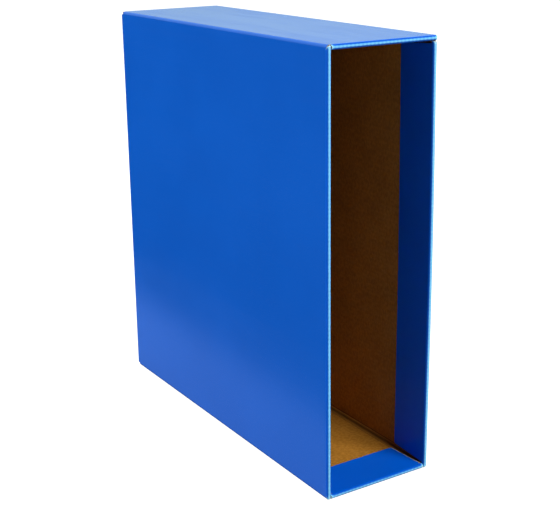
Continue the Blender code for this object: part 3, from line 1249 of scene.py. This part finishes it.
@dataclass
class TurnedHems:
    """The rolled rims of the mouth and the flaps glued down behind them."""

    shop: Workshop
    radius: float = 1.8 * MM
    turn_stops: int = 23
    taper: float = 2.2 * MM
    corner: float = 1.5 * MM
    beads: float = 0.03 * MM
    top_beads: float = 0.06 * MM
    nib_width: float = 1.3 * MM
    nib_length: float = 0.45 * MM
    nib_shift: float = 11.8 * MM
    nib_across: tuple[float, ...] = (-0.5, -0.2, 0.25, 0.5)
    nib_tip: float = 0.6
    nib_depth: float = 0.06 * MM
    nib_thickness: float = 0.7
    bare_edge: float = 0.55 * MM
    bare_rise: float = 0.02 * MM
    bare_depth: float = 0.25 * MM
    upright_reach: float = 0.9 * MM
    corner_lift: float = 1.55 * MM
    level_reach: float = 0.4 * MM
    # share of lighter film on the rims' crests: partly stretch whitening, partly a painted highlight
    upright_stretch_and_highlight: float = 0.88
    level_stretch_and_highlight: float = 0.70
    crest_power: int = 4
    # lighter dots where the flutes cross a rim's crest: painted beaded highlight
    flute_bead_highlight: float = 0.12
    end_rub: float = 0.9
    end_reach: float = 0.9 * MM
    free_rub: float = 0.15
    free_reach: float = 0.35 * MM
    upright_rub: float = 0.2
    level_rub: float = 1.7
    side_reach: float = 0.3 * MM

    def build(self) -> None:
        """Make the four rims and the four flaps."""
        for name, outward, across in (("left", "-X", "+Z"), ("right", "+X", "+Z"),
                                      ("bottom", "-Z", "+X"), ("top", "+Z", "+X")):
            self.rim(name, AXES[outward], AXES[across])
            self.flap(name, AXES[outward], AXES[across])

    def rim(self, name: str, outward: Vector, across: Vector) -> None:
        """Make one rolled rim.

        Args:
            name: the side of the mouth.
            outward: the way out of the box on that side.
            across: the way along the rim.
        """
        low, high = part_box(name + "_rim")
        lip = self.shop.lip
        middle = (low + high) / 2
        axis_point = outward * middle.dot(outward) + AXES["+Y"] * (low.y + self.radius)
        lay = RolledLay(axis_point, across, outward, AXES["-Y"], self.radius, math.pi)
        arc = self.radius * math.pi
        along = np.concatenate(([-lip], np.linspace(0.0, arc, self.turn_stops), [arc + lip]))
        upright = across.z > 0.5
        start, stop = (np.full(len(along), end.dot(across)) for end in (low, high))
        turn = np.clip(along / arc, 0.0, 1.0)
        if upright:
            lift = self.corner_lift * np.sin(turn * math.pi)
            start = start - self.upright_reach * turn - lift
            stop = stop + self.upright_reach * turn + lift * (name == "left")
        else:
            start, stop = start - self.level_reach, stop + self.level_reach
        # the share of lighter film on the crest: stretch whitening and painted highlight
        stretch = self.upright_stretch_and_highlight if upright else self.level_stretch_and_highlight

        def wear(rows: Grid, columns: Grid) -> Grid:
            """Return the lighter film over the rim's crest, partly stretch whitening and partly a painted
            highlight with beads at the flutes, and the rub at its two ends.

            Args:
                rows: distances with the flutes.
                columns: distances across the flutes.

            Returns:
                The wear at each point.
            """
            crest = arch(rows / arc) ** self.crest_power
            edge = np.minimum(columns - start[:, None], stop[:, None] - columns)
            flute = 0.5 + 0.5 * np.cos(2 * math.pi * columns / FLUTE_PITCH)
            return (crest * (stretch + self.flute_bead_highlight * flute)
                    + self.end_rub * fade(edge, self.end_reach))

        draft = Draft()
        beads = self.top_beads if outward.z > 0.5 else self.beads
        # the rim takes the copy of the print that is painted brighter
        self.shop.board.lay_up(draft, lay, along, start, stop, wear, beads, stops=50,
                               printed=Face.HEM_PRINT)
        self.shop.dress(draft, name + "_rolled_rim", name + "_rim", "carton")

    def flap(self, name: str, outward: Vector, across: Vector) -> None:
        """Make one turned-in flap, with the nib that its die left on the free edge.

        Args:
            name: the side of the mouth.
            outward: the way out of the box on that side.
            across: the way along the rim.
        """
        low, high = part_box(name + "_hem")
        inner = min(low.dot(outward), high.dot(outward))
        origin = outward * inner + AXES["+Y"] * low.y
        lay = FlatLay(origin, AXES["+Y"], across, outward)
        outline = Outline(low.dot(across), high.dot(across), high.y - low.y,
                          self.taper, self.corner)
        along = outline.stops(count=12)
        start, stop = outline.ends(along)
        upright = across.z > 0.5

        def wear(rows: Grid, columns: Grid) -> Grid:
            """Return the rub of the flap's cut edges.

            Args:
                rows: distances with the flutes.
                columns: distances across the flutes.

            Returns:
                The wear at each point.
            """
            first, last = (end[:, None] for end in outline.ends(rows.ravel()))
            side = fade(np.minimum(columns - first, last - columns), self.side_reach)
            free = fade(outline.depth - rows, self.free_reach)
            return self.free_rub * free + (self.upright_rub if upright else self.level_rub) * side

        draft = Draft()
        # the flap takes the copy of the print that is painted brighter
        self.shop.board.lay_up(draft, lay, along, start, stop, wear, stops=50,
                               printed=Face.HEM_PRINT)
        self.nib(draft, lay, outline, 0.0 if upright else self.nib_shift)
        if not upright:
            self.bare_strip(draft, lay, along, start, self.bare_edge)
            self.bare_strip(draft, lay, along, stop, -self.bare_edge)
        self.shop.dress(draft, name + "_turned_hem", name + "_hem", "carton")

    def nib(self, draft: Draft, lay: Lay, outline: Outline, shift: float) -> None:
        """Add the nib where the blank was held in its die.

        Args:
            draft: the flap's mesh.
            lay: where the flap comes to rest.
            outline: the flap's shape.
            shift: how far the nib is from the middle of the free edge.
        """
        centre = (outline.low + outline.high) / 2 + shift
        depths = np.array((outline.depth, outline.depth + self.nib_length))[:, None]
        sides = self.nib_width * np.array(self.nib_across)[None, :]
        sides = centre + sides * np.array((1.0, self.nib_tip))[:, None]
        draft.add_ply(lay, depths, sides, self.nib_depth,
                      self.shop.board.thickness * self.nib_thickness,
                      (Face.WHITE_CUT, Face.BROWN_CUT, Face.BROWN_CUT))

    def bare_strip(self, draft: Draft, lay: Lay, along: Grid, side: Grid, width: float) -> None:
        """Add the strip of bare paper where the film ends short of a cut edge.

        Args:
            draft: the flap's mesh.
            lay: where the flap comes to rest.
            along: distances with the flutes, one for each row.
            side: where the cut edge is in each row.
            width: the strip's width, negative if it runs the other way.
        """
        across = side[:, None] + np.array((0.0, 0.5, 1.0))[None, :] * width
        draft.add_ply(lay, along[:, None], across, -self.bare_rise, self.bare_depth,
                      (Face.WHITE_CUT, Face.WHITE_CUT, Face.WHITE_CUT))


@dataclass
class LivingFolds:
    """How board bends on a crease that still moves: shared by the cover and the flaps."""

    shop: Workshop
    radius: float = 1.8 * MM
    band: float = 0.75 * MM
    pressed: float = 0.7
    turn_stops: int = 37
    stops_per_flute: int = 6
    # outside crest: lighter film, partly stretch whitening and partly a painted highlight, with rubbed
    # specks; inside crest: painted shade
    crest_wear_and_highlight: float = 0.9
    crest_painted_shade: float = 0.5

    def hinge_point(self, joint: str) -> Vector:
        """Return a point on a joint's axis."""
        found = next(j for j in frame["joints"] if j["name"] == joint)
        return Vector(found["pos_m"])

    def bent_strip(self, lay: RolledLay, low: float, high: float, lip: float) -> Draft:
        """Return a quarter-turn fold of thin plies, close enough meshed to bend further.

        Args:
            lay: the fold's bend.
            low: where the fold begins along its axis.
            high: where it ends.
            lip: flat stretch at both sides of the bend.

        Returns:
            The fold's mesh.
        """
        arc = lay.radius * math.pi / 2
        turn = np.linspace(0.0, arc, self.turn_stops)
        if lip:
            turn = np.concatenate(([-lip], turn, [arc + lip]))
        draft = Draft()
        rows = turn[:, None]
        board = self.shop.board
        across = crowded(low, high, count=40)[None, :]
        crest = arch(rows / arc) ** 2
        # lighter film over the outside of the bend: stretch whitening with a painted highlight
        board.add_print(draft, lay, rows, across, self.crest_wear_and_highlight * crest)
        count = round((high - low) / FLUTE_PITCH * self.stops_per_flute) + 1
        fine = np.linspace(low, high, count)[None, :]
        board.add_medium(draft, lay, rows[::2], fine, board.wave(fine, self.pressed))
        # painted shade on the kraft inside the bend
        board.add_kraft(draft, lay, rows, across, self.crest_painted_shade * crest)
        return draft


@dataclass
class BackClosure(LivingFolds):
    """The hinged back cover with its tuck tongue, and the folds they turn on."""

    tongue_corner: float = 12.0 * MM
    cover_band: float = 0.22 * MM
    edge_rub: float = 0.9
    edge_reach: float = 0.4 * MM

    def build(self) -> None:
        """Make the cover, the tongue and their folds."""
        self.cover()
        self.cover_fold()
        self.tongue_fold()
        self.tongue()

    def cover(self) -> None:
        """Make the flat cover."""
        low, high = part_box("back_cover")
        lay = FlatLay(Vector((0.0, high.y, 0.0)), AXES["+X"], AXES["+Z"], AXES["-Y"])
        along = crowded(low.x, high.x, count=16)
        draft = Draft()

        def wear(rows: Grid, columns: Grid) -> Grid:
            """Return the rub along the cover's top and bottom cut edges."""
            edge = np.minimum(columns - low.z, high.z - columns)
            return self.edge_rub * fade(edge, self.edge_reach) + 0.0 * rows

        self.shop.board.lay_up(draft, lay, along, np.full(len(along), low.z),
                               np.full(len(along), high.z), wear, stops=50)
        self.shop.dress(draft, "back_cover_board", "back_cover", "back_cover", bowed=False)

    def cover_fold(self) -> None:
        """Make the fold between the left wall and the cover."""
        low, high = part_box("cover_crease")
        wall_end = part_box("left_wall")[1].y
        cover_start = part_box("back_cover")[0].x
        centre = Vector((cover_start, wall_end, 0.0))
        lay = RolledLay(centre, AXES["+Z"], AXES["-X"], AXES["+Y"], self.radius, math.pi / 2)
        draft = self.bent_strip(lay, low.z, high.z, 0.0)
        axis = self.hinge_point("cover_hinge")
        way = (AXES["+X"] + AXES["+Y"]).normalized() * self.cover_band
        self.shop.dress_hinge(draft, "cover_hinge_fold", "cover_crease",
                              ("carton", "back_cover"), axis - way, axis + way)

    def tongue_fold(self) -> None:
        """Make the fold between the cover and its tongue."""
        low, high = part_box("tongue_crease")
        axis = self.hinge_point("tongue_hinge")
        centre = Vector((axis.x, axis.y, 0.0))
        lay = RolledLay(centre, AXES["+Z"], AXES["+Y"], AXES["+X"], self.radius, math.pi / 2)
        draft = self.bent_strip(lay, low.z, high.z, self.shop.lip)
        way = (AXES["+X"] + AXES["-Y"]).normalized() * self.band
        self.shop.dress_hinge(draft, "tongue_hinge_fold", "tongue_crease",
                              ("back_cover", "tuck_tongue"), axis - way, axis + way)

    def tongue(self) -> None:
        """Make the tongue that tucks inside the right wall."""
        low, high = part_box("tuck_tongue")
        lay = FlatLay(Vector((high.x, high.y, 0.0)), AXES["-Y"], AXES["+Z"], AXES["-X"])
        outline = Outline(low.z, high.z, high.y - low.y, 0.0, self.tongue_corner)
        along = outline.stops(count=8)
        draft = Draft()
        self.shop.board.lay_up(draft, lay, along, *outline.ends(along), stops=50)
        self.shop.dress(draft, "tuck_tongue_board", "tuck_tongue", "tuck_tongue",
                        Slot.LINER, bowed=False)


@dataclass
class DustFlaps(LivingFolds):
    """The two short flaps that stand behind the cover."""

    taper: float = 6.0 * MM
    flap_corner: float = 4.0 * MM
    shoulder: float = 0.8 * MM

    def build(self) -> None:
        """Make both flaps and their folds."""
        for name, up in (("bottom", AXES["-Z"]), ("top", AXES["+Z"])):
            self.fold(name, up)
            self.flap(name, up)

    def fold(self, name: str, up: Vector) -> None:
        """Make the fold that a flap turns on.

        Args:
            name: top or bottom.
            up: the way out of the box at that wall.
        """
        low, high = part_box(name + "_flap_crease")
        axis = self.hinge_point(name + "_flap_hinge")
        centre = Vector((0.0, axis.y, axis.z))
        lay = RolledLay(centre, AXES["+X"], up, AXES["+Y"], self.radius, math.pi / 2)
        draft = self.bent_strip(lay, low.x + self.shoulder, high.x - self.shoulder,
                                self.shop.lip)
        way = (AXES["+Y"] - up).normalized() * self.band
        self.shop.dress_hinge(draft, name + "_flap_hinge_fold", name + "_flap_crease",
                              ("carton", name + "_dust_flap"), axis - way, axis + way)

    def flap(self, name: str, up: Vector) -> None:
        """Make one dust flap.

        Args:
            name: top or bottom.
            up: the way out of the box at that wall.
        """
        node = name + "_dust_flap"
        low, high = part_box(node)
        root = high.z if up.z > 0 else low.z
        lay = FlatLay(Vector((0.0, high.y, root)), -up, AXES["+X"], AXES["-Y"])
        outline = Outline(low.x, high.x, high.z - low.z, self.taper, self.flap_corner,
                          self.shoulder)
        along = outline.stops(count=10)
        draft = Draft()
        self.shop.board.lay_up(draft, lay, along, *outline.ends(along), stops=30)
        self.shop.dress(draft, node + "_board", node, node, Slot.LINER, bowed=False)


@dataclass
class GlueLines:
    """The dried glue between the plies: the CAD solids, given their finish."""

    shop: Workshop

    def build(self) -> None:
        """Dress each glue line."""
        for name, node in frame["nodes"].items():
            if name.endswith("_glue"):
                for socket in node.material_slots:
                    socket.link = "OBJECT"
                    socket.material = self.shop.finishes.glue
                self.shop.made.append(node)


# --------------------------------------------------------------------------
# Studio
# --------------------------------------------------------------------------


@dataclass(frozen=True)
class Lamp:
    """One softbox, which no gloss mirrors."""

    name: str
    place: tuple[float, float, float]
    aim: tuple[float, float, float]
    size: tuple[float, float]
    power: float

    def hang(self) -> None:
        """Put the softbox in the scene."""
        data = bpy.data.lights.new(self.name, "AREA")
        data.shape = "RECTANGLE"
        data.size, data.size_y = self.size
        data.energy = self.power
        lamp = bpy.data.objects.new(self.name, data)
        bpy.context.scene.collection.objects.link(lamp)
        lamp.location = self.place
        way = Vector(self.aim) - Vector(self.place)
        lamp.rotation_euler = way.to_track_quat("-Z", "Y").to_euler()
        lamp.visible_glossy = False
        lamp.visible_camera = False


@dataclass
class Studio:
    """Floor, backdrop light, softboxes and camera."""

    floor_side: float = 14.0
    floor_drop: float = 0.15 * MM
    floor_white: float = 0.93
    ambient: float = 1.05
    ambient_front: float = 0.03
    sheen_sky: float = 0.86
    sky_tint: tuple[float, float, float] = (0.66, 0.92, 1.0)
    sky_rise: tuple[float, float] = (-0.03, 0.12)
    ambient_rise: tuple[float, float] = (-0.10, 0.45)
    floor_greys: tuple[float, float] = (0.34, 0.36)
    floor_roughness: float = 0.9
    card_gap: float = 2.0 * MM
    card_end: float = -0.20
    card_front: float = -0.25
    card_back: float = 0.50
    card_fade: tuple[float, float] = (-0.165, -0.095)
    card_tint: tuple[float, float, float] = (0.26, 0.42, 1.0)
    card_glow: float = 1.0
    lens: float = 73.54
    sensor: float = 36.0
    nearest: float = 0.01
    shift_y: float = -0.05
    azimuth: float = -32.557
    elevation: float = 15.873
    roll: float = -0.695
    stand: tuple[float, float, float] = (-0.4682, -0.7564, 0.41245)
    lamps: tuple[Lamp, ...] = (
        Lamp("front_softbox", (0.22, -1.15, 1.9), (0.0, -0.1, 0.1), (0.7, 0.7), 40.0),
        Lamp("left_softbox", (-1.8, 0.5, 0.9), (0.0, 0.0, 0.15), (1.2, 1.2), 31.0),
        Lamp("back_softbox", (1.5, 1.6, 1.3), (0.0, 0.0, 0.15), (1.2, 1.2), 26.0),
        Lamp("rim_softbox", (1.3, -1.7, 0.35), (0.0, -0.15, 0.16), (0.5, 0.9), 19.0),
    )

    def build(self) -> None:
        """Set up the whole studio."""
        self.backdrop()
        self.floor()
        self.bounce_card()
        for lamp in self.lamps:
            lamp.hang()
        self.camera()
        scene = bpy.context.scene
        scene.view_settings.view_transform = "Standard"
        scene.view_settings.look = "None"

    def bounce_card(self) -> None:
        """Lay a bright sheet beside the box, which shows only in the gloss of its side."""
        start = CAD_BOX[0].x - self.card_gap
        corners = [(start, self.card_back, 0.0), (start, self.card_front, 0.0),
                   (self.card_end, self.card_front, 0.0), (self.card_end, self.card_back, 0.0)]
        sheet = NodeSheet("bounce_card_white")
        sheet.set("Base Color", (0.0, 0.0, 0.0, 1.0))
        sheet.set("Emission Color", (*self.card_tint, 1.0))
        split = sheet.put("ShaderNodeSeparateXYZ")
        sheet.feed(split.inputs[0], sheet.place_in_row())
        glow = sheet.window(split.outputs["X"], *self.card_fade, 0.0, self.card_glow)
        sheet.set("Emission Strength", glow)
        card = self.spread_sheet("bounce_card", corners, sheet.material)
        card.visible_camera = False
        card.visible_diffuse = False
        card.visible_shadow = False

    def spread_sheet(self, name: str, corners: list[tuple[float, float, float]],
                     material: bpy.types.Material) -> bpy.types.Object:
        """Make a flat sheet of one face.

        Args:
            name: the sheet's name.
            corners: its corners in order.
            material: its finish.

        Returns:
            The new sheet.
        """
        mesh = bpy.data.meshes.new(name)
        mesh.from_pydata(corners, [], [tuple(range(len(corners)))])
        mesh.materials.append(material)
        sheet = bpy.data.objects.new(name, mesh)
        bpy.context.scene.collection.objects.link(sheet)
        return sheet

    def backdrop(self) -> None:
        """Give the studio its white surroundings, which shine only above the floor."""
        world = bpy.data.worlds.new("white_studio")
        bpy.context.scene.world = world
        world.use_nodes = True
        sky = NodeWriter(world.node_tree)
        ray = sky.put("ShaderNodeLightPath").outputs
        place = sky.put("ShaderNodeTexCoord").outputs["Generated"]
        split = sky.put("ShaderNodeSeparateXYZ")
        sky.feed(split.inputs[0], place)
        mirrored = sky.window(split.outputs["Z"], *self.sky_rise, 0.0, self.sheen_sky)
        lit = sky.window(split.outputs["Y"], *self.ambient_rise, self.ambient_front, self.ambient)
        strength = sky.between(ray["Is Glossy Ray"], lit, mirrored)
        strength = sky.between(ray["Is Camera Ray"], strength, 1.0)
        light = sky.put("ShaderNodeBackground")
        sky.feed(light.inputs["Color"],
                 sky.blend(ray["Is Glossy Ray"], (1.0, 1.0, 1.0), self.sky_tint))
        sky.feed(light.inputs["Strength"], strength)
        sky.feed(sky.put("ShaderNodeOutputWorld").inputs["Surface"], light.outputs[0])

    def floor(self) -> None:
        """Lay the pale floor."""
        side = self.floor_side / 2
        corners = [(-side, -side, 0.0), (side, -side, 0.0), (side, side, 0.0), (-side, side, 0.0)]
        sheet = NodeSheet("white_floor")
        tone = sheet.noise(sheet.place_in_row(), scale=30.0, detail=3.0)
        dark, light = ((grey, grey, grey) for grey in self.floor_greys)
        sheet.set("Base Color", sheet.blend(tone, dark, light))
        sheet.set("Roughness", self.floor_roughness)
        sheet.set("Emission Color", (1.0, 1.0, 1.0, 1.0))
        seen = sheet.put("ShaderNodeLightPath").outputs["Is Camera Ray"]
        sheet.set("Emission Strength", sheet.math("MULTIPLY", seen, self.floor_white))
        floor = self.spread_sheet("studio_floor", corners, sheet.material)
        floor.location.z = -self.floor_drop
        floor.visible_glossy = False

    def camera(self) -> None:
        """Set the camera up in front of the mouth, to its left and above."""
        data = bpy.data.cameras.new("studio_camera")
        data.lens = self.lens
        data.sensor_width = self.sensor
        data.shift_y = self.shift_y
        data.clip_start = self.nearest
        camera = bpy.data.objects.new("studio_camera", data)
        bpy.context.scene.collection.objects.link(camera)
        a, e, r = (math.radians(v) for v in (self.azimuth, self.elevation, self.roll))
        back = Vector((math.sin(a) * math.cos(e), -math.cos(a) * math.cos(e), math.sin(e)))
        right = AXES["+Z"].cross(back).normalized()
        up = back.cross(right)
        turned = right * math.cos(r) + up * math.sin(r)
        upright = up * math.cos(r) - right * math.sin(r)
        pose = Matrix((turned, upright, back)).transposed().to_4x4()
        pose.translation = Vector(self.stand)
        camera.matrix_world = pose
        bpy.context.scene.camera = camera


def main() -> None:
    """Build the box's looks and its studio."""
    logging.basicConfig(level=logging.INFO, format="%(message)s")
    low, high = CAD_BOX
    wall_low, wall_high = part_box("left_wall")
    shop = Workshop(
        Board(wall_high.x - wall_low.x),
        Finishes(),
        Bow(low.y, high.y, high.z, high.x),
    )
    for part in (Tube(shop), TurnedHems(shop), BackClosure(shop), DustFlaps(shop),
                 GlueLines(shop)):
        before = len(shop.made)
        part.build()
        LOG.info("%s: %d pieces", type(part).__name__, len(shop.made) - before)
    for piece in shop.made:
        LOG.info("  %s: %d faces", piece.name, len(piece.data.polygons))
    Studio().build()


if __name__ == "__main__":
    main()
